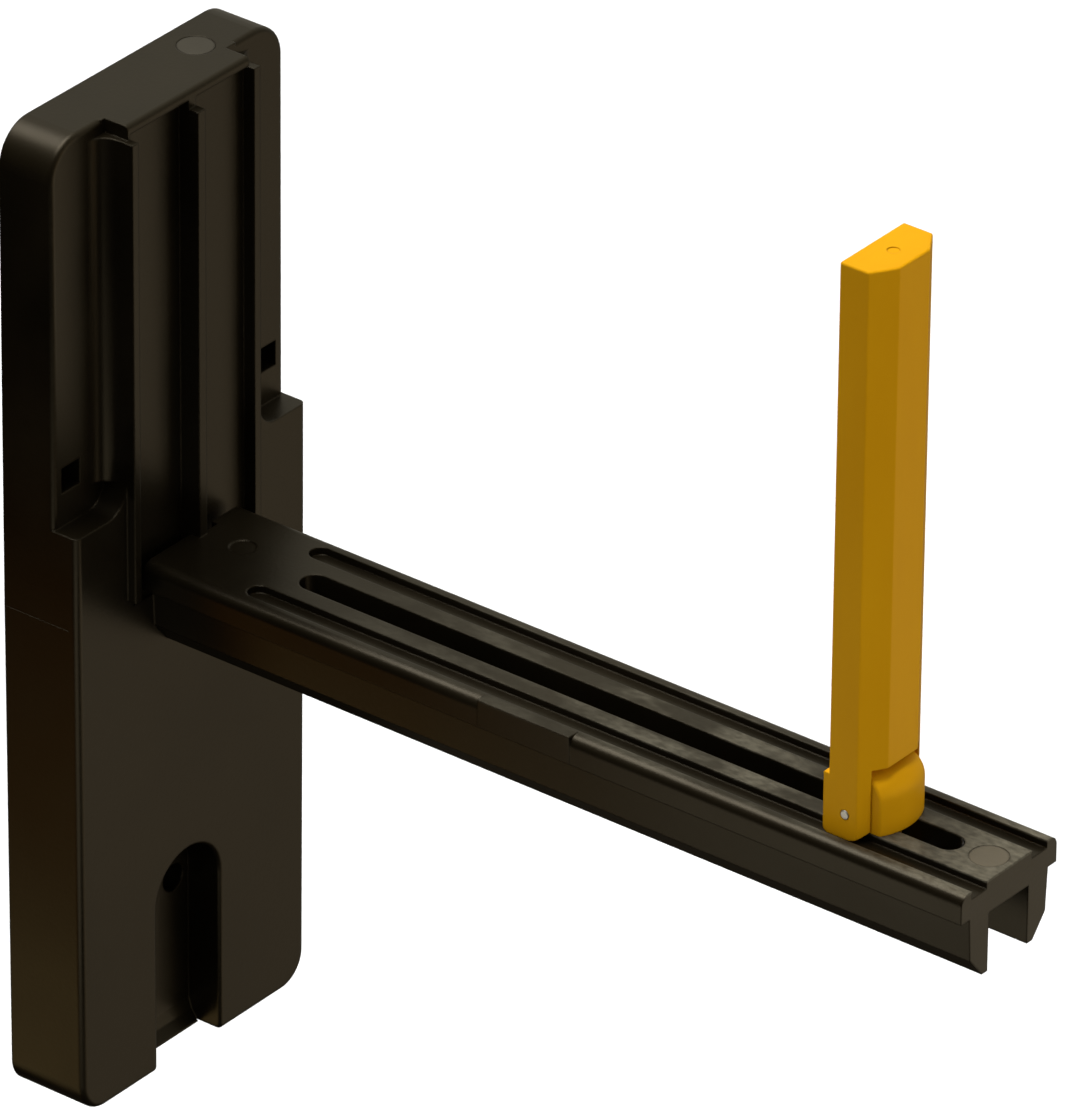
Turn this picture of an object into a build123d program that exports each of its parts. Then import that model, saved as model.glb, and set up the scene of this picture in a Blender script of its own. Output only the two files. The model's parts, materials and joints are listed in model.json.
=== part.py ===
from build123d import *
import os

# Label roll holder: a black wall plate with a slotted arm, and a yellow fold-down guide that slides on it.
# Millimetres. The origin is the centre of the plate's flat back face.
# +Z is up, the arm reaches towards -Y, and X runs along the width of the plate.

# Wall plate
plate_width = 51.0
plate_height = 157.2
plate_depth = 13.46
side_draft = 0.4
parting_height = 80.9
top_corner = 6.0
bottom_corner = 5.0
block_front_round = 1.0
side_front_round = 0.8
step_height = 96.2
side_step = 4.16
step_corner = 4.0
step_root_round = 3.0
block_left = 14.5
block_right = 15.0
cap_left = 13.7
cap_right = 12.9
cap_band = 1.4
cap_edge_round = 0.8

# Ribs and channels on the upper plate
left_rib_proud = 1.5
middle_rib_proud = 1.7
right_rib_proud = 0.3
rib_thickness = 1.3
outer_rib_drop = 2.2
middle_rib_drop = 2.8
middle_rib_left = -0.4
middle_rib_right = 1.2
channel_depth = 1.8
pocket_drop = 6.0
notch_left = -0.5
notch_right = 4.2
notch_depth = 1.1
notch_drop = 3.0
rib_tail = 4.6

# Arm
arm_height = 86.1
tip_land = 8.06
rail_half = 10.9
flange_height = 4.4
flange_round = 1.6
leg_half = 9.0
leg_foot_half = 8.6
leg_bevel_half = 5.8
leg_bevel_drop = 11.2
leg_drop = 14.6
channel_half = 4.53
web_thickness = 5.3
strip_half = 5.2
groove_outer = 8.6
groove_depth = 1.2
groove_start = 29.5
slot_half = 2.25
slot_start = 33.5
slide_out = 10.8
pad_start = 73.6
pad_end = 89.8
pad_proud = 0.07
pad_wide = 2.0
pad_deep = 4.4

# Marks of the tool that moulded it
ejector_depth = 0.15
root_ejector_radius = 2.0
root_ejector_x = 1.4
root_ejector_y = -21.5
tip_ejector_radius = 2.87
tip_ejector_x = 0.4
tip_ejector_back = 3.76
top_ejector_radius = 2.8
top_ejector_x = 10.8
top_ejector_y = -5.5

# Screw recess at the foot of the plate
recess_half = 7.1
recess_x = -1.3
recess_edge_round = 0.6
recess_centre = 27.2
recess_depth = 6.0
lip_height = 3.5
lip_depth = 1.8
screw_hole_radius = 2.2
screw_hole_x = 2.4
screw_hole_height = 25.4

# Square sockets beside the block
socket_size = 4.0
socket_x = 21.75
socket_height = 103.6
socket_depth = 5.0

# Hinge
pin_reach = 134.6
pin_above_arm = 2.8
pin_radius = 0.75
pin_half = 7.25
pin_running_gap = 0.04
pin_chamfer = 0.15

# Guide
guide_half = 7.15
guide_back_behind_pin = 2.9
guide_depth = 7.3
guide_side_depth = 4.9
guide_front_half = 3.35
guide_above_arm = 88.2
guide_under_above_pin = 7.35
guide_edge_round = 0.35
ear_thickness = 1.8
ear_back = 3.7
ear_drop = 3.85
ear_arc = 3.9
ear_shoulder_above_pin = 5.6
ear_heel_round = 0.9
gate_radius = 0.9
gate_depth = 0.15

# Slider
slide_gap = 0.05
knuckle_half = 5.15
knuckle_above_pin = 6.2
knuckle_back = 3.3
knuckle_side_front = 4.5
knuckle_bow = 1.5
knuckle_brow_round = 3.6
knuckle_side_round = 0.6
stem_half = 2.1
stem_length = 8.0
stem_below_web = 1.2
keeper_half = 4.3
keeper_length = 16.0
keeper_thickness = 2.0
keeper_corner = 1.0
keeper_hole_radius = 1.5
spring_half = 3.9
spring_length = 14.0
spring_crown = 9.4
spring_thickness = 0.4
spring_foot = 1.0
spring_hole_half = 2.3
spring_hole_length = 8.5
screw_radius = 1.25
screw_depth = 5.0
screw_head_radius = 2.6
screw_head_height = 1.7
drive_radius = 1.1
drive_depth = 1.0
drive_sides = 6

# Small extra that takes a cut clear of the surface it starts from
over = 1.0

# Levels and positions worked out from the sizes above
pin_y = -pin_reach
slot_end = pin_reach + stem_length / 2 + slide_out
arm_reach = slot_end + tip_land - plate_depth
tip_ejector_y = tip_ejector_back - slot_end - tip_land
foot = -plate_height / 2
head = plate_height / 2
half_width = plate_width / 2
parting = foot + parting_height
step = foot + step_height
arm_top = foot + arm_height
web_under = arm_top - web_thickness
arm_tip = -(plate_depth + arm_reach)
cap_under = head - cap_band
recess_floor = plate_depth - side_step
channel_bottom = arm_top - pocket_drop
left_rib_inner = block_left - rib_thickness
right_rib_inner = block_right - rib_thickness
left_channel_width = left_rib_inner + middle_rib_left
left_channel_mid = (middle_rib_left - left_rib_inner) / 2
right_channel_width = right_rib_inner - middle_rib_right
right_channel_mid = (middle_rib_right + right_rib_inner) / 2
groove_mid = (strip_half + groove_outer) / 2
groove_half = (groove_outer - strip_half) / 2
left_rib_mid = -(left_rib_inner + block_left) / 2
right_rib_mid = (right_rib_inner + block_right) / 2
socket_level = foot + socket_height
hole_level = foot + screw_hole_height
screw_floor = plate_depth - recess_depth


def slot_along_arm(length, half):
    """Outline with round ends, its whole length along the arm"""
    SlotCenterPoint((0, 0), (0, length / 2 - half), 2 * half)


with BuildPart() as holder_body:
    # Plate outline, a little narrower below the parting line
    with BuildSketch(Plane.XZ) as plate_outline:
        with BuildLine():
            Polyline(
                (-half_width, head),
                (half_width, head),
                (half_width, parting),
                (half_width - side_draft, foot),
                (side_draft - half_width, foot),
                (-half_width, parting),
                close=True,
            )
        make_face()
        fillet(plate_outline.vertices().group_by(Axis.Y)[-1], top_corner)
        fillet(plate_outline.vertices().group_by(Axis.Y)[0], bottom_corner)
    extrude(amount=plate_depth)

    # Side steps beside the middle block, with a rounded corner up into it
    left_span = half_width + over - block_left
    right_span = half_width + over - block_right
    side_rise = head + over - step
    with BuildSketch(Plane.XZ.offset(plate_depth)) as side_steps:
        with Locations((-block_left - left_span / 2, step + side_rise / 2)):
            Rectangle(left_span, side_rise)
        with Locations((block_right + right_span / 2, step + side_rise / 2)):
            Rectangle(right_span, side_rise)
        fillet(
            side_steps.vertices().group_by(Axis.Y)[0].filter_by(lambda v: abs(v.X) < half_width),
            step_corner,
        )
    extrude(amount=-side_step, mode=Mode.SUBTRACT)
    # Rounded front edges of the lower block and of the stepped sides
    front_edges = holder_body.edges().group_by(Axis.Y)[0]
    lower_edges = front_edges.filter_by(lambda e: e.center().Z < step - over)
    fillet(lower_edges, block_front_round)
    side_edges = holder_body.edges().filter_by(
        lambda e: abs(e.center().Y + recess_floor) < ejector_depth
        and abs(e.center().X) > half_width - top_corner
        and e.center().Z > step + step_corner
    )
    fillet(side_edges, side_front_round)

    # Hollow corner between each stepped side and the block
    cove_back = -recess_floor
    cove_front = -recess_floor - step_root_round
    cove_mid = step_root_round * (1 - 0.5**0.5)
    with BuildSketch(Plane.XY.offset(step + step_corner)):
        with BuildLine():
            Polyline(
                (-block_left, cove_front),
                (-block_left, cove_back),
                (-block_left - step_root_round, cove_back),
            )
            ThreePointArc(
                (-block_left - step_root_round, cove_back),
                (-block_left - cove_mid, cove_back - cove_mid),
                (-block_left, cove_front),
            )
        make_face()
        with BuildLine():
            Polyline(
                (block_right, cove_front),
                (block_right, cove_back),
                (block_right + step_root_round, cove_back),
            )
            ThreePointArc(
                (block_right + step_root_round, cove_back),
                (block_right + cove_mid, cove_back - cove_mid),
                (block_right, cove_front),
            )
        make_face()
    extrude(amount=head - step - step_corner)

    # The outer ribs stand outside the cap
    left_shoulder = block_left - cap_left + step_root_round
    right_shoulder = block_right - cap_right + step_root_round
    with BuildSketch(Plane.XZ.offset(plate_depth)):
        with Locations((-cap_left - left_shoulder / 2, head)):
            Rectangle(left_shoulder, 2 * outer_rib_drop)
        with Locations((cap_right + right_shoulder / 2, head)):
            Rectangle(right_shoulder, 2 * outer_rib_drop)
    extrude(amount=-side_step, mode=Mode.SUBTRACT)
    cap_edge = holder_body.edges().group_by(Axis.Y)[0].filter_by(
        lambda e: e.center().Z > cap_under and abs(e.center().X) < over
    )
    fillet(cap_edge, cap_edge_round)

    # Arm section, an inverted channel with rails that overhang its legs
    with BuildSketch(Plane.XZ.offset(plate_depth)) as arm_section:
        with BuildLine():
            Polyline(
                (-rail_half, arm_top),
                (rail_half, arm_top),
                (rail_half, arm_top - flange_height),
                (leg_half, arm_top - flange_height),
                (leg_foot_half, arm_top - leg_bevel_drop),
                (leg_bevel_half, arm_top - leg_drop),
                (channel_half, arm_top - leg_drop),
                (channel_half, web_under),
                (-channel_half, web_under),
                (-channel_half, arm_top - leg_drop),
                (-leg_bevel_half, arm_top - leg_drop),
                (-leg_foot_half, arm_top - leg_bevel_drop),
                (-leg_half, arm_top - flange_height),
                (-rail_half, arm_top - flange_height),
                close=True,
            )
        make_face()
        fillet(arm_section.vertices().group_by(Axis.Y)[-1], flange_round)
    extrude(amount=arm_reach)

    # Raised corner left by an insert in the tool, on the near rail
    pad_length = pad_end - pad_start
    with Locations((-rail_half - pad_proud, -pad_start, arm_top + pad_proud)):
        Box(pad_wide, pad_length, pad_deep, align=(Align.MIN, Align.MAX, Align.MAX))

    # Channels between the ribs, running down behind the arm
    channel_rise = cap_under - channel_bottom
    with BuildSketch(Plane.XZ.offset(plate_depth)):
        with Locations((left_channel_mid, channel_bottom + channel_rise / 2)):
            Rectangle(left_channel_width, channel_rise)
        with Locations((right_channel_mid, channel_bottom + channel_rise / 2)):
            Rectangle(right_channel_width, channel_rise)
    extrude(amount=-channel_depth, mode=Mode.SUBTRACT)

    # Notch in the rear edge of the arm where the middle rib comes down
    with Locations((notch_left, -plate_depth, arm_top + over)):
        Box(
            notch_right - notch_left,
            notch_depth,
            notch_drop + over,
            align=(Align.MIN, Align.MAX, Align.MAX),
            mode=Mode.SUBTRACT,
        )

    # Ribs proud of the block
    rib_bottom = arm_top - rib_tail
    outer_rise = head - outer_rib_drop - rib_bottom
    with BuildSketch(Plane.XZ.offset(plate_depth)):
        with Locations((left_rib_mid, rib_bottom + outer_rise / 2)):
            Rectangle(rib_thickness, outer_rise)
    extrude(amount=left_rib_proud)
    with BuildSketch(Plane.XZ.offset(plate_depth)):
        with Locations((right_rib_mid, rib_bottom + outer_rise / 2)):
            Rectangle(rib_thickness, outer_rise)
    extrude(amount=right_rib_proud)
    middle_top = head - middle_rib_drop
    middle_rise = middle_top - arm_top + notch_drop
    middle_mid = (middle_rib_left + middle_rib_right) / 2
    with BuildSketch(Plane.XZ.offset(plate_depth)):
        with Locations((middle_mid, middle_top - middle_rise / 2)):
            Rectangle(middle_rib_right - middle_rib_left, middle_rise)
    extrude(amount=middle_rib_proud)

    # Long slot for the stem and the two grooves for the ears
    slot_length = slot_end - slot_start
    with BuildSketch(Plane.XY.offset(arm_top)):
        with Locations((0, -(slot_start + slot_end) / 2)):
            slot_along_arm(slot_length, slot_half)
    extrude(amount=-web_thickness, mode=Mode.SUBTRACT)
    groove_run = plate_depth + arm_reach + 2 * groove_half - groove_start
    with BuildSketch(Plane.XY.offset(arm_top)):
        with Locations(
            (groove_mid, -groove_start - groove_run / 2),
            (-groove_mid, -groove_start - groove_run / 2),
        ):
            slot_along_arm(groove_run, groove_half)
    extrude(amount=-groove_depth, mode=Mode.SUBTRACT)

    # Ejector marks, all on faces that look up
    with BuildSketch(Plane.XY.offset(arm_top)):
        with Locations((root_ejector_x, root_ejector_y)):
            Circle(root_ejector_radius)
        with Locations((tip_ejector_x, tip_ejector_y)):
            Circle(tip_ejector_radius)
    extrude(amount=-ejector_depth, mode=Mode.SUBTRACT)
    with BuildSketch(Plane.XY.offset(head)):
        with Locations((top_ejector_x, top_ejector_y)):
            Circle(top_ejector_radius)
    extrude(amount=-ejector_depth, mode=Mode.SUBTRACT)

    # Recess for the wall screw, open at the foot
    recess_level = foot + recess_centre
    with BuildSketch(Plane.XZ.offset(plate_depth)):
        with Locations((recess_x, recess_level)):
            Circle(recess_half)
        with Locations((recess_x, (recess_level + foot - over) / 2)):
            Rectangle(2 * recess_half, recess_centre + over)
    extrude(amount=-recess_depth, mode=Mode.SUBTRACT)
    recess_edges = holder_body.edges().filter_by(
        lambda e: abs(e.center().Y + plate_depth) < ejector_depth
        and abs(e.center().X - recess_x) < recess_half + ejector_depth
        and e.center().Z > foot + block_front_round
        and e.center().Z < recess_level + recess_half + over
    )
    fillet(recess_edges, recess_edge_round)
    with BuildSketch(Plane.YZ.offset(recess_x)) as lip_section:
        with BuildLine():
            Polyline(
                (-screw_floor, foot),
                (-screw_floor, foot + lip_height),
                (-screw_floor - lip_depth / 3, foot + lip_height / 2),
                (-screw_floor - lip_depth, foot),
                close=True,
            )
        make_face()
    extrude(amount=recess_half, both=True)
    with Locations(Plane.XZ.offset(screw_floor)):
        with Locations((screw_hole_x, hole_level)):
            Hole(screw_hole_radius, depth=screw_floor + over)

    # Square sockets in the stepped sides
    with BuildSketch(Plane.XZ.offset(recess_floor)):
        with Locations((socket_x, socket_level), (-socket_x, socket_level)):
            Rectangle(socket_size, socket_size)
    extrude(amount=-socket_depth, mode=Mode.SUBTRACT)

# Hinge levels
pin_level = arm_top + pin_above_arm
strip_level = arm_top + slide_gap
guide_back = pin_y + guide_back_behind_pin
guide_front = guide_back - guide_depth
guide_side_front = guide_back - guide_side_depth
guide_top = arm_top + guide_above_arm
guide_under = pin_level + guide_under_above_pin
ear_inner = guide_half - ear_thickness
ear_foot = pin_level - ear_drop

with BuildPart() as guide_flag:
    # Upright with bevelled front corners, down to the foot of its ears
    with BuildSketch(Plane.XY.offset(ear_foot)):
        with BuildLine():
            Polyline(
                (-guide_half, guide_back),
                (guide_half, guide_back),
                (guide_half, guide_side_front),
                (guide_front_half, guide_front),
                (-guide_front_half, guide_front),
                (-guide_half, guide_side_front),
                close=True,
            )
        make_face()
    extrude(amount=guide_top - ear_foot)
    upright_edges = guide_flag.edges().filter_by(Axis.Z) + guide_flag.edges().group_by(Axis.Z)[-1]
    fillet(upright_edges, guide_edge_round)

    # Heels behind the ears, then the space for the knuckle between them
    heel_rise = ear_drop + ear_shoulder_above_pin
    with BuildSketch(Plane.YZ.offset(-guide_half)) as heel_outline:
        with Locations((pin_y + ear_back, ear_foot + heel_rise / 2)):
            Rectangle(ear_back, heel_rise, align=(Align.MAX, Align.CENTER))
        fillet(heel_outline.vertices().group_by(Axis.X)[-1].sort_by(Axis.Y)[0], ear_heel_round)
    extrude(amount=2 * guide_half)
    with Locations((0, pin_y, ear_foot - over)):
        Box(
            2 * ear_inner,
            2 * guide_depth,
            guide_under - ear_foot + over,
            align=(Align.CENTER, Align.CENTER, Align.MIN),
            mode=Mode.SUBTRACT,
        )

    # Front corners of the ears rounded about the pin, so that they turn in the grooves
    with BuildSketch(Plane.YZ) as swing_space:
        with Locations((pin_y, pin_level)):
            Rectangle(guide_depth, 2 * ear_drop, align=(Align.MAX, Align.MAX))
            Circle(ear_arc, mode=Mode.SUBTRACT)
    extrude(amount=guide_half + over, both=True, mode=Mode.SUBTRACT)

    # Bore for the pin, pressed into both ears
    with Locations(Plane.YZ.offset(guide_half)):
        with Locations((pin_y, pin_level)):
            Hole(pin_radius, depth=2 * guide_half)

    # Mark of the gate on the top
    with BuildSketch(Plane.XY.offset(guide_top)):
        with Locations((0, (guide_back + guide_front) / 2)):
            Circle(gate_radius)
    extrude(amount=-gate_depth, mode=Mode.SUBTRACT)

with BuildPart() as hinge_pin:
    with BuildSketch(Plane.YZ):
        with Locations((pin_y, pin_level)):
            Circle(pin_radius)
    extrude(amount=pin_half, both=True)
    chamfer(hinge_pin.edges().filter_by(GeomType.CIRCLE), pin_chamfer)

stem_bottom = web_under - stem_below_web

with BuildPart() as guide_slider:
    # Knuckle with a bowed front, flat where it rides on the arm
    bow_y = pin_y - knuckle_side_front
    with BuildSketch(Plane.XY.offset(strip_level)):
        with BuildLine():
            Polyline(
                (-knuckle_half, bow_y),
                (-knuckle_half, pin_y + knuckle_back),
                (knuckle_half, pin_y + knuckle_back),
                (knuckle_half, bow_y),
            )
            ThreePointArc((knuckle_half, bow_y), (0, bow_y - knuckle_bow), (-knuckle_half, bow_y))
        make_face()
    extrude(amount=pin_level + knuckle_above_pin - strip_level)
    bowed_edges = guide_slider.edges().group_by(Axis.Z)[-1].sort_by(Axis.Y)[0]
    fillet(bowed_edges, knuckle_brow_round)
    corner_edges = guide_slider.edges().filter_by(Axis.Z).filter_by(lambda e: e.center().Y < pin_y)
    fillet(corner_edges, knuckle_side_round)
    # Stem through the slot
    with BuildSketch(Plane.XY.offset(strip_level)):
        with Locations((0, pin_y)):
            slot_along_arm(stem_length, stem_half)
    extrude(amount=stem_bottom - strip_level)
    # Bore the pin turns in, and the pilot hole for the screw
    with Locations(Plane.YZ.offset(knuckle_half)):
        with Locations((pin_y, pin_level)):
            Hole(pin_radius + pin_running_gap, depth=2 * knuckle_half)
    with BuildSketch(Plane.XY.offset(stem_bottom)):
        with Locations((0, pin_y)):
            Circle(screw_radius)
    extrude(amount=screw_depth, mode=Mode.SUBTRACT)

keeper_bottom = stem_bottom - keeper_thickness

with BuildPart() as slide_keeper:
    with BuildSketch(Plane.XY.offset(keeper_bottom)) as keeper_outline:
        with Locations((0, pin_y)):
            Rectangle(2 * keeper_half, keeper_length)
        fillet(keeper_outline.vertices(), keeper_corner)
        with Locations((0, pin_y)):
            Circle(keeper_hole_radius, mode=Mode.SUBTRACT)
    extrude(amount=keeper_thickness)

with BuildPart() as keeper_screw:
    with BuildSketch(Plane.XY.offset(keeper_bottom)):
        with Locations((0, pin_y)):
            Circle(screw_head_radius)
    extrude(amount=-screw_head_height)
    with BuildSketch(Plane.XY.offset(keeper_bottom)):
        with Locations((0, pin_y)):
            Circle(screw_radius)
    extrude(amount=keeper_thickness + screw_depth - over)
    with BuildSketch(Plane.XY.offset(keeper_bottom - screw_head_height)):
        with Locations((0, pin_y)):
            RegularPolygon(drive_radius, drive_sides)
    extrude(amount=drive_depth, mode=Mode.SUBTRACT)

crown_top = web_under - slide_gap
crown_under = crown_top - spring_thickness
crown_half = spring_crown / 2
spring_end = spring_length / 2
foot_inner = spring_end - spring_foot
spring_foot_top = stem_bottom + spring_thickness

with BuildPart() as friction_spring:
    with BuildSketch(Plane.YZ):
        with BuildLine():
            Polyline(
                (pin_y - spring_end, stem_bottom),
                (pin_y - foot_inner, stem_bottom),
                (pin_y - crown_half, crown_under),
                (pin_y + crown_half, crown_under),
                (pin_y + foot_inner, stem_bottom),
                (pin_y + spring_end, stem_bottom),
                (pin_y + spring_end, spring_foot_top),
                (pin_y + foot_inner, spring_foot_top),
                (pin_y + crown_half, crown_top),
                (pin_y - crown_half, crown_top),
                (pin_y - foot_inner, spring_foot_top),
                (pin_y - spring_end, spring_foot_top),
                close=True,
            )
        make_face()
    extrude(amount=spring_half, both=True)
    with BuildSketch(Plane.XY.offset(web_under)):
        with Locations((0, pin_y)):
            slot_along_arm(spring_hole_length, spring_hole_half)
    extrude(amount=-stem_below_web, mode=Mode.SUBTRACT)

os.makedirs("parts", exist_ok=True)

holder_body.part.label = "holder_body"
export_step(holder_body.part, "parts/holder_body.step")
guide_flag.part.label = "guide_flag"
export_step(guide_flag.part, "parts/guide_flag.step")
hinge_pin.part.label = "hinge_pin"
export_step(hinge_pin.part, "parts/hinge_pin.step")
guide_slider.part.label = "guide_slider"
export_step(guide_slider.part, "parts/guide_slider.step")
slide_keeper.part.label = "slide_keeper"
export_step(slide_keeper.part, "parts/slide_keeper.step")
keeper_screw.part.label = "keeper_screw"
export_step(keeper_screw.part, "parts/keeper_screw.step")
friction_spring.part.label = "friction_spring"
export_step(friction_spring.part, "parts/friction_spring.step")
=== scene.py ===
import json
import math

import bpy
from mathutils import Matrix, Vector


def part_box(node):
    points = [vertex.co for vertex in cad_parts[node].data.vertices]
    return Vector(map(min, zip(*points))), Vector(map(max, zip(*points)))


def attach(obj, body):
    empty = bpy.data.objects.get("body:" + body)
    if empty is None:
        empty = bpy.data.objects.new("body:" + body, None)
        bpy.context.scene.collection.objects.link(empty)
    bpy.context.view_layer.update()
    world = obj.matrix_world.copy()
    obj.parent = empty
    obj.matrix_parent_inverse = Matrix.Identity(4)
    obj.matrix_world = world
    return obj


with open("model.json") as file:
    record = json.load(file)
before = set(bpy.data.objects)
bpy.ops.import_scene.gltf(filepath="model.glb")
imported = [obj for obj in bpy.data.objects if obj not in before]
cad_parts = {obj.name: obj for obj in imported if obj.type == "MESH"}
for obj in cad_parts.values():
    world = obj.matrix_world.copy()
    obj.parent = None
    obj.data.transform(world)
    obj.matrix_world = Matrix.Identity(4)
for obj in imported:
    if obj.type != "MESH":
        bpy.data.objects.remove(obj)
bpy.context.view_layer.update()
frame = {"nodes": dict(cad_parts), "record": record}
scene = bpy.context.scene

# Heights and places on the solids, in metres
arm_top = 0.0075
arm_wear_start, arm_wear_end = -0.030, -0.150
# Over the tip the skin is painted paler, for wear and a highlight together
tip_wear_highlight_start, tip_wear_highlight_end = -0.139, -0.152
strip_edge, rail_edge = 0.0084, 0.0090
parting_height = 0.0809
ejector_depth = 0.00015


# ---------- node helpers, which take and give back sockets ----------
def node_material(name):
    mat = bpy.data.materials.new(name)
    mat.use_nodes = True
    tree = mat.node_tree
    return mat, tree, tree.nodes["Principled BSDF"]


def grey(v):
    return (v, v, v, 1.0)


def mapped_noise(tree, stretch, scale, detail, rough=0.5):
    coord = tree.nodes.new("ShaderNodeTexCoord")
    mapping = tree.nodes.new("ShaderNodeMapping")
    mapping.inputs["Scale"].default_value = stretch
    noise = tree.nodes.new("ShaderNodeTexNoise")
    noise.inputs["Scale"].default_value = scale
    noise.inputs["Detail"].default_value = detail
    noise.inputs["Roughness"].default_value = rough
    tree.links.new(coord.outputs["Object"], mapping.inputs["Vector"])
    tree.links.new(mapping.outputs["Vector"], noise.inputs["Vector"])
    return noise.outputs["Fac"]


def ramp(tree, source, stops):
    node = tree.nodes.new("ShaderNodeValToRGB")
    elements = node.color_ramp.elements
    while len(elements) > 1:
        elements.remove(elements[-1])
    elements[0].position, elements[0].color = stops[0]
    for place, colour in stops[1:]:
        elements.new(place).color = colour
    tree.links.new(source, node.inputs["Fac"])
    return node.outputs["Color"]


# From 0 at low to 1 at high, and no further on either side
def between(tree, source, low, high):
    node = tree.nodes.new("ShaderNodeMapRange")
    node.inputs["From Min"].default_value = low
    node.inputs["From Max"].default_value = high
    tree.links.new(source, node.inputs["Value"])
    return node.outputs["Result"]


def maths(tree, operation, *values):
    node = tree.nodes.new("ShaderNodeMath")
    node.operation = operation
    for value, socket in zip(values, node.inputs):
        tree.links.new(value, socket)
    return node.outputs["Value"]


def times(tree, a, b):
    return maths(tree, "MULTIPLY", a, b)


def most(tree, a, b):
    return maths(tree, "MAXIMUM", a, b)


def mixed(tree, factor, colour, painted):
    node = tree.nodes.new("ShaderNodeMix")
    node.data_type = "RGBA"
    tree.links.new(factor, node.inputs["Factor"])
    tree.links.new(colour, node.inputs["A"])
    node.inputs["B"].default_value = painted
    return node.outputs["Result"]


def mixed_shaders(tree, factor, a, b):
    node = tree.nodes.new("ShaderNodeMixShader")
    tree.links.new(factor, node.inputs["Fac"])
    tree.links.new(a, node.inputs[1])
    tree.links.new(b, node.inputs[2])
    return node.outputs["Shader"]


# Edges rounded in the shading only, and a fine grain over the faces
def soft_edges(tree, shader, grain, radius, strength, distance):
    bevel = tree.nodes.new("ShaderNodeBevel")
    bevel.samples = 4
    bevel.inputs["Radius"].default_value = radius
    bump = tree.nodes.new("ShaderNodeBump")
    bump.inputs["Strength"].default_value = strength
    bump.inputs["Distance"].default_value = distance
    tree.links.new(grain, bump.inputs["Height"])
    tree.links.new(bevel.outputs["Normal"], bump.inputs["Normal"])
    tree.links.new(bump.outputs["Normal"], shader.inputs["Normal"])


# ---------- materials ----------
# Worn, paler skin on top of the arm, where rolls and the guide rub along it; near the tip it is
# paler all over, partly wear and partly a painted highlight
def arm_wear_and_tip_highlight(tree):
    place = tree.nodes.new("ShaderNodeTexCoord")
    axes = tree.nodes.new("ShaderNodeSeparateXYZ")
    tree.links.new(place.outputs["Object"], axes.inputs["Vector"])
    x, y, z = axes.outputs
    on_top = between(tree, z, arm_top - 0.0004, arm_top - 0.0001)
    along = between(tree, y, arm_wear_start, arm_wear_end)
    specks = mapped_noise(tree, (1.6, 0.7, 1.6), 900.0, detail=4.0, rough=0.55)
    rubbed = ramp(tree, specks, [(0.30, grey(0.28)), (0.70, grey(0.88))])
    patches = mapped_noise(tree, (2.4, 1, 2.4), 85.0, detail=3.0)
    patchy = ramp(tree, patches, [(0.42, grey(0.12)), (0.64, grey(1.0))])
    # Near the tip the skin is paler all over: partly wear, partly a painted highlight
    at_highlit_tip = between(tree, y, tip_wear_highlight_start, tip_wear_highlight_end)
    spots = times(tree, rubbed, most(tree, patchy, at_highlit_tip))
    # The rails are rubbed half as much as the strip between them, but for their tips, where the
    # paler skin is partly a painted highlight
    on_strip = between(tree, maths(tree, "ABSOLUTE", x), rail_edge, strip_edge)
    spots = times(tree, spots, between(tree, most(tree, on_strip, at_highlit_tip), -1.0, 1.0))
    return times(tree, times(tree, on_top, along), spots)


def black_plastic(name, dark, worn_highlight_colour, specular):
    mat, tree, shader = node_material(name)
    clouds = mapped_noise(tree, (1, 1, 1), 42.0, detail=6.0)
    light = tuple(c * 2.0 for c in dark[:3]) + (1,)
    colour = ramp(tree, clouds, [(0.35, dark), (0.68, light)])
    rough = ramp(tree, clouds, [(0.35, grey(0.28)), (0.7, grey(0.36))])
    # Paler worn skin, with a painted highlight over the arm's tip
    wear_and_highlight = arm_wear_and_tip_highlight(tree)
    tree.links.new(mixed(tree, wear_and_highlight, colour, worn_highlight_colour), shader.inputs["Base Color"])
    tree.links.new(mixed(tree, wear_and_highlight, rough, grey(0.6)), shader.inputs["Roughness"])
    shader.inputs["Specular IOR Level"].default_value = specular
    shader.inputs["Specular Tint"].default_value = (1.0, 0.86, 0.62, 1)
    grain = mapped_noise(tree, (1, 1, 1), 1500.0, detail=3.0)
    soft_edges(tree, shader, grain, radius=0.0004, strength=0.16, distance=0.00008)
    return mat


def yellow_plastic():
    mat, tree, shader = node_material("yellow_plastic")
    clouds = mapped_noise(tree, (1, 1, 0.35), 60.0, detail=4.0)
    shades = [
        (0.3, (0.730, 0.335, 0.0035, 1)),
        (0.55, (0.765, 0.362, 0.0045, 1)),
        (0.75, (0.800, 0.388, 0.0060, 1)),
    ]
    rough = ramp(tree, clouds, [(0.3, grey(0.36)), (0.7, grey(0.46))])
    tree.links.new(ramp(tree, clouds, shades), shader.inputs["Base Color"])
    tree.links.new(rough, shader.inputs["Roughness"])
    shader.inputs["Specular IOR Level"].default_value = 0.10
    shader.inputs["Specular Tint"].default_value = (1.0, 0.74, 0.22, 1)
    grain = mapped_noise(tree, (1, 1, 1), 1800.0, detail=2.0)
    soft_edges(tree, shader, grain, radius=0.0003, strength=0.06, distance=0.00005)
    return mat


def steel():
    mat, tree, shader = node_material("steel")
    brushed = mapped_noise(tree, (1, 24, 24), 220.0, detail=3.0)
    shades = [(0.3, (0.66, 0.65, 0.62, 1)), (0.7, (0.82, 0.81, 0.78, 1))]
    rough = ramp(tree, brushed, [(0.3, grey(0.34)), (0.7, grey(0.46))])
    tree.links.new(ramp(tree, brushed, shades), shader.inputs["Base Color"])
    tree.links.new(rough, shader.inputs["Roughness"])
    shader.inputs["Metallic"].default_value = 1.0
    soft_edges(tree, shader, brushed, radius=0.00015, strength=0.08, distance=0.00003)
    return mat


body_low, body_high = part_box("holder_body")
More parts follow.
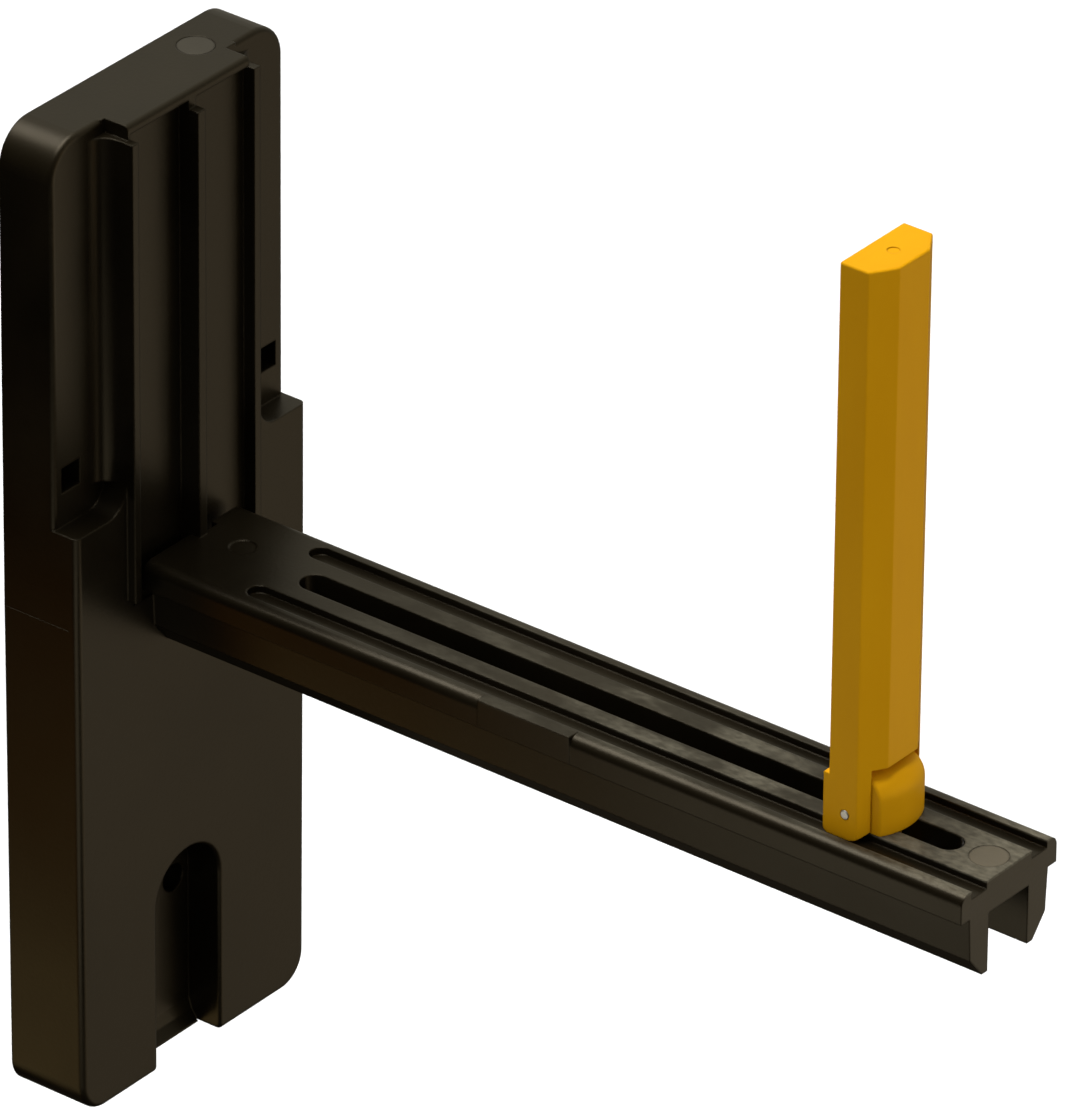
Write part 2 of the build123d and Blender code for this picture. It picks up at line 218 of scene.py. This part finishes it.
# Pale worn skin, which over the arm's tip also stands for a painted highlight
pale_wear_highlight = (0.158, 0.144, 0.104, 1)
finishes = {
    "black_plastic": black_plastic("black_plastic", (0.0040, 0.0029, 0.0013, 1), pale_wear_highlight, 0.36),
    "yellow_plastic": yellow_plastic(),
    "steel": steel(),
}
slots = {part["node"]: part["material_slot"] for part in frame["record"]["subparts"]}
for name, node in frame["nodes"].items():
    for material_slot in node.material_slots:
        material_slot.material = finishes[slots[name]]


# ---------- small marks ----------
def placed(name, vertices, faces, body, material):
    mesh = bpy.data.meshes.new(name)
    mesh.from_pydata(vertices, [], faces)
    mesh.materials.append(material)
    obj = bpy.data.objects.new(name, mesh)
    scene.collection.objects.link(obj)
    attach(obj, body)


def disc(name, middle, material, radius, thick):
    x, y, z = middle
    count = 48
    angles = [2 * math.pi * i / count for i in range(count)]
    ring = [(x + radius * math.cos(angle), y + radius * math.sin(angle)) for angle in angles]
    vertices = [(*place, height) for height in (z, z + thick) for place in ring]
    faces = [tuple(reversed(range(count))), tuple(range(count, 2 * count))]
    faces += [(i, (i + 1) % count, count + (i + 1) % count, count + i) for i in range(count)]
    placed(name, vertices, faces, "holder", material)


def strip(name, low, high):
    across, along, upward = zip(low, high)
    vertices = [(x, y, z) for z in upward for y in along for x in across]
    faces = [(0, 2, 3, 1), (4, 5, 7, 6), (0, 1, 5, 4), (1, 3, 7, 5), (3, 2, 6, 7), (2, 0, 4, 6)]
    placed(name, vertices, faces, "holder", finishes["black_plastic"])


# Two of the ejector pins left a duller, paler skin; the one at the arm's tip is browner and
# paler still, partly worn and partly a painted highlight
head_mark = (0.0108, -0.0055, body_high.z - ejector_depth)
tip_mark = (0.0004, -0.1537, arm_top - ejector_depth)
tip_brown_highlight = (0.115, 0.098, 0.068, 1)
ejected = black_plastic("ejector_mark", (0.022, 0.0195, 0.0145, 1), pale_wear_highlight, 0.30)
ejected_highlit_tip = black_plastic("ejector_mark_worn_highlit", (0.060, 0.052, 0.036, 1), tip_brown_highlight, 0.30)
disc("ejector_mark_head", head_mark, ejected, radius=0.00272, thick=0.00012)
disc("ejector_mark_tip", tip_mark, ejected_highlit_tip, radius=0.00280, thick=0.00009)
# Fine flash left where the two halves of the tool met
seam = body_low.z + parting_height
flash_out, flash_half, flash_front, flash_back = 0.00003, 0.00007, -0.01180, -0.0002
for name, x in (("seam_left", body_low.x), ("seam_right", body_high.x)):
    strip(
        name,
        (x - flash_out, flash_front, seam - flash_half),
        (x + flash_out, flash_back, seam + flash_half),
    )


# ---------- camera, fitted to the corners and edges in the photo ----------
azimuth, elevation, roll = math.radians(-52.1106), math.radians(30.178), math.radians(0.557)
level_x = -math.sin(azimuth) * math.cos(elevation)
level_y = math.cos(azimuth) * math.cos(elevation)
forward = Vector((level_x, level_y, -math.sin(elevation)))
right = Vector((math.cos(azimuth), math.sin(azimuth), 0))
up = right.cross(forward)
side = math.cos(roll) * right + math.sin(roll) * up
top = -math.sin(roll) * right + math.cos(roll) * up
camera_data = bpy.data.cameras.new("camera")
camera_data.lens = 450.0
camera_data.sensor_width = 36.0
camera_data.clip_start = 0.1
camera_data.clip_end = 20.0
camera = bpy.data.objects.new("camera", camera_data)
scene.collection.objects.link(camera)
turn = Matrix((side, top, -forward)).transposed().to_4x4()
camera_place = (-1.32466, -1.10669, 1.00193)
camera.matrix_world = Matrix.Translation(camera_place) @ turn
scene.camera = camera


# ---------- light ----------
def lamp(name, data, facing):
    obj = bpy.data.objects.new(name, data)
    scene.collection.objects.link(obj)
    obj.rotation_mode = "QUATERNION"
    obj.rotation_quaternion = Vector(facing).to_track_quat("-Z", "Y")
    return obj


def sun(name, facing, level, spread):
    data = bpy.data.lights.new(name, "SUN")
    data.energy = level * math.pi
    data.angle = math.radians(spread)
    return lamp(name, data, facing)


above, front = (0.05, -0.22, -0.97), (-0.27, 0.90, 0.22)
left_hand, right_hand = (1.0, 0.35, -0.5), (-0.64, 0.58, 0.48)
sun("key_from_above", above, level=1.16, spread=50).visible_glossy = False
sun("fill_from_front", front, level=0.70, spread=50).visible_glossy = False
sun("fill_from_side", left_hand, level=0.04, spread=70).visible_glossy = False
# The black plastic shows little but these sheens, which leave the yellow as it is
white, warm = (1.0, 1.0, 1.0), (1.0, 0.84, 0.60)
for name, facing, level, spread, colour in (
    ("sheen_from_above", above, 0.90, 50, white),
    ("sheen_from_front", front, 0.12, 50, warm),
    ("sheen_from_right", right_hand, 0.038, 40, warm),
):
    sheen = sun(name, facing, level, spread)
    sheen.visible_diffuse = False
    sheen.data.color = colour


# Low cards, seen only as a sheen on the arm's sides and end and on the foot of the plate
def card(name, place, facing, width, height, radiance, colour):
    data = bpy.data.lights.new(name, "AREA")
    data.shape = "RECTANGLE"
    data.size, data.size_y = width, height
    data.energy = radiance * math.pi * width * height
    data.color = colour
    obj = lamp(name, data, facing)
    obj.location = place
    obj.visible_diffuse = False
    obj.visible_camera = False


to_right, to_end = (1, 0, 0), (-0.68, 0.53, 0.50)
brown, cream, ochre = (1.0, 0.42, 0.06), (1.0, 0.94, 0.78), (1.0, 0.76, 0.36)
card("card_brown", (-0.12, 0.050, -0.090), to_right, 0.10, 0.06, 0.25, brown)
card("card_tip", (-0.12, -0.085, -0.085), to_right, 0.14, 0.09, 0.95, cream)
card("card_foot", (-0.12, 0.080, -0.170), to_right, 0.11, 0.08, 0.86, ochre)
card("card_end", (0.18, -0.30, -0.13), to_end, 0.12, 0.12, 0.40, cream)


# ---------- world ----------
def backdrop(tree, strength):
    node = tree.nodes.new("ShaderNodeBackground")
    node.inputs["Color"].default_value = grey(1.0)
    node.inputs["Strength"].default_value = strength
    return node


world = bpy.data.worlds.new("studio")
scene.world = world
world.use_nodes = True
tree = world.node_tree
tree.nodes.clear()
# The camera sees pure white, matt surfaces a dim white, and glossy ones a pale studio above
# and on the right, with a dark one low down on the left
shown, dim, mirrored = backdrop(tree, 1.0), backdrop(tree, 0.22), backdrop(tree, 1.0)
coord = tree.nodes.new("ShaderNodeTexCoord")
dot = tree.nodes.new("ShaderNodeVectorMath")
dot.operation = "DOT_PRODUCT"
dot.inputs[1].default_value = Vector((0.60, 0.20, 0.77)).normalized()
tree.links.new(coord.outputs["Generated"], dot.inputs[0])
tones = [
    (0.20, (0.006, 0.004, 0.002, 1)),
    (0.46, (0.06, 0.05, 0.035, 1)),
    (0.80, (0.34, 0.32, 0.26, 1)),
    (1.0, (0.56, 0.54, 0.45, 1)),
]
shade = ramp(tree, between(tree, dot.outputs["Value"], -1.0, 1.0), tones)
tree.links.new(shade, mirrored.inputs["Color"])
rays = tree.nodes.new("ShaderNodeLightPath").outputs
glossy = rays["Is Glossy Ray"]
seen = most(tree, rays["Is Camera Ray"], rays["Is Transmission Ray"])
unseen = mixed_shaders(tree, glossy, dim.outputs["Background"], mirrored.outputs["Background"])
whole = mixed_shaders(tree, seen, unseen, shown.outputs["Background"])
tree.links.new(whole, tree.nodes.new("ShaderNodeOutputWorld").inputs["Surface"])


# ---------- floor ----------
# Pale and well below the part, seen from above only, and left out of fill and reflections
floor_mesh = bpy.data.meshes.new("floor")
reach, level = 6.0, -0.7
corners = ((-reach, -reach), (reach, -reach), (reach, reach), (-reach, reach))
floor_mesh.from_pydata([(x, y, level) for x, y in corners], [], [(0, 1, 2, 3)])
floor = bpy.data.objects.new("floor", floor_mesh)
scene.collection.objects.link(floor)
floor.visible_diffuse = False
floor.visible_glossy = False
floor_material, floor_tree, floor_shader = node_material("floor")
floor_shader.inputs["Base Color"].default_value = grey(0.85)
floor_shader.inputs["Roughness"].default_value = 1.0
floor_shader.inputs["Specular IOR Level"].default_value = 0.0
clear = floor_tree.nodes.new("ShaderNodeBsdfTransparent").outputs["BSDF"]
underside = floor_tree.nodes.new("ShaderNodeNewGeometry").outputs["Backfacing"]
one_sided = mixed_shaders(floor_tree, underside, floor_shader.outputs["BSDF"], clear)
floor_tree.links.new(one_sided, floor_tree.nodes["Material Output"].inputs["Surface"])
floor_mesh.materials.append(floor_material)

scene.view_settings.view_transform = "Standard"
